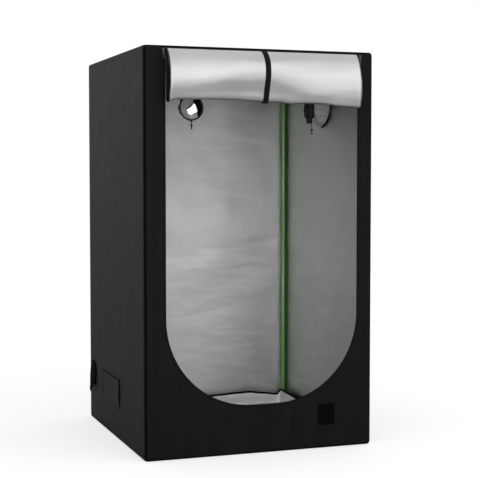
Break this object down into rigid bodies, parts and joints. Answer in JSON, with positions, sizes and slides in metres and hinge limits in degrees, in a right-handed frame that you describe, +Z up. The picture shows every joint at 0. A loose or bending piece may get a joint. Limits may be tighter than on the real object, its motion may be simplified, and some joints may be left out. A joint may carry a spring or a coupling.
{
  "type": "indoor grow tent",
  "caption": "Square indoor grow tent: push-fit steel frame, black cover with silver lining, rolled-up front door, vent ports, hanging bars and floor tray.",
  "frame": {"origin": "middle of the cover's underside, on the floor", "axes": "+Z up, the door faces -Y, +X runs along the front from left to right"},
  "size_m": [1.324, 1.3805, 2],
  "materials": {
    "black_cloth": "matt",
    "silver_cloth": "metallic satin",
    "black_webbing": "matt",
    "green_steel": "semi gloss",
    "black_plastic": "matt",
    "dark_metal": "semi gloss"
  },
  "bodies": {
    "frame_and_cover": {"back_port_drawstring": "black_webbing", "back_port_ring": "black_webbing", "back_port_sleeve": "black_cloth", "back_wall": "black_cloth", "bottom_bar_back": "green_steel", "bottom_bar_front": "green_steel", "bottom_bar_left": "green_steel", "bottom_bar_right": "green_steel", "corner_connector_back_left_bottom": "black_plastic", "corner_connector_back_left_top": "black_plastic", "corner_connector_back_right_bottom": "black_plastic", "corner_connector_back_right_top": "black_plastic", "corner_connector_front_left_bottom": "black_plastic", "corner_connector_front_left_top": "black_plastic", "corner_connector_front_right_bottom": "black_plastic", "corner_connector_front_right_top": "black_plastic", "floor_panel": "black_cloth", "floor_tray": "silver_cloth", "front_panel": "black_cloth", "front_patch": "black_webbing", "left_port_ring": "black_webbing", "left_port_sleeve": "black_cloth", "left_wall": "black_cloth", "lower_pole_back_left": "green_steel", "lower_pole_back_right": "green_steel", "lower_pole_front_left": "green_steel", "lower_pole_front_right": "green_steel", "right_port_drawstring": "black_webbing", "right_port_inner_sleeve": "black_cloth", "right_port_ring": "black_webbing", "right_port_sleeve": "black_cloth", "right_wall": "black_cloth", "roof_panel": "black_cloth", "top_bar_back": "green_steel", "top_bar_front": "green_steel", "top_bar_left": "green_steel", "top_bar_right": "green_steel", "tray_binding": "black_webbing", "upper_pole_back_left": "green_steel", "upper_pole_back_right": "green_steel", "upper_pole_front_left": "green_steel", "upper_pole_front_right": "green_steel", "vent_net": "black_cloth", "zip_track": "black_plastic"},
    "rolled_door": {"door_roll": "silver_cloth", "roll_strap": "black_webbing"},
    "left_zip_slider": {"zip_slider_left": "dark_metal"},
    "left_zip_pull": {"zip_pull_left": "dark_metal"},
    "right_zip_slider": {"zip_slider_right": "dark_metal"},
    "right_zip_pull": {"zip_pull_right": "dark_metal"},
    "vent_flap": {"vent_flap": "black_cloth"},
    "front_hanging_bar": {"hanging_bar_front": "green_steel", "hanging_clip_front_left": "black_plastic", "hanging_clip_front_right": "black_plastic"},
    "back_hanging_bar": {"hanging_bar_back": "green_steel", "hanging_clip_back_left": "black_plastic", "hanging_clip_back_right": "black_plastic"},
    "back_cord_lock": {"back_port_cord_lock": "black_plastic"},
    "right_cord_lock": {"right_port_cord_lock": "black_plastic"}
  },
  "joints": [
    {"name": "door_swing", "type": "hinge", "parent": "frame_and_cover", "child": "rolled_door", "pos_m": [0, -0.6009, 1.984], "axis": [-1, 0, 0], "range_deg": [0, 80]},
    {"name": "zip_left_slide", "type": "slide", "parent": "frame_and_cover", "child": "left_zip_slider", "axis": [0, 0, 1], "range_m": [-1.27, 0]},
    {"name": "zip_left_pull", "type": "hinge", "parent": "left_zip_slider", "child": "left_zip_pull", "pos_m": [-0.502, -0.60815, 1.97045], "axis": [-1, 0, 0], "range_deg": [0, 170]},
    {"name": "zip_right_slide", "type": "slide", "parent": "frame_and_cover", "child": "right_zip_slider", "axis": [0, 0, 1], "range_m": [-1.27, 0]},
    {"name": "zip_right_pull", "type": "hinge", "parent": "right_zip_slider", "child": "right_zip_pull", "pos_m": [0.523, -0.60815, 1.97045], "axis": [-1, 0, 0], "range_deg": [0, 170]},
    {"name": "vent_flap_hinge", "type": "hinge", "parent": "frame_and_cover", "child": "vent_flap", "pos_m": [-0.6009, 0.09, 0.165], "axis": [0, -1, 0], "range_deg": [0, 170]},
    {"name": "front_bar_slide", "type": "slide", "parent": "frame_and_cover", "child": "front_hanging_bar", "axis": [0, 1, 0], "range_m": [-0.25, 0.2]},
    {"name": "back_bar_slide", "type": "slide", "parent": "frame_and_cover", "child": "back_hanging_bar", "axis": [0, 1, 0], "range_m": [-0.2, 0.25]},
    {"name": "back_cord_lock_slide", "type": "slide", "parent": "frame_and_cover", "child": "back_cord_lock", "axis": [0, 0, 1], "range_m": [0, 0.022]},
    {"name": "right_cord_lock_slide", "type": "slide", "parent": "frame_and_cover", "child": "right_cord_lock", "axis": [0, 0, 1], "range_m": [0, 0.028]}
  ]
}
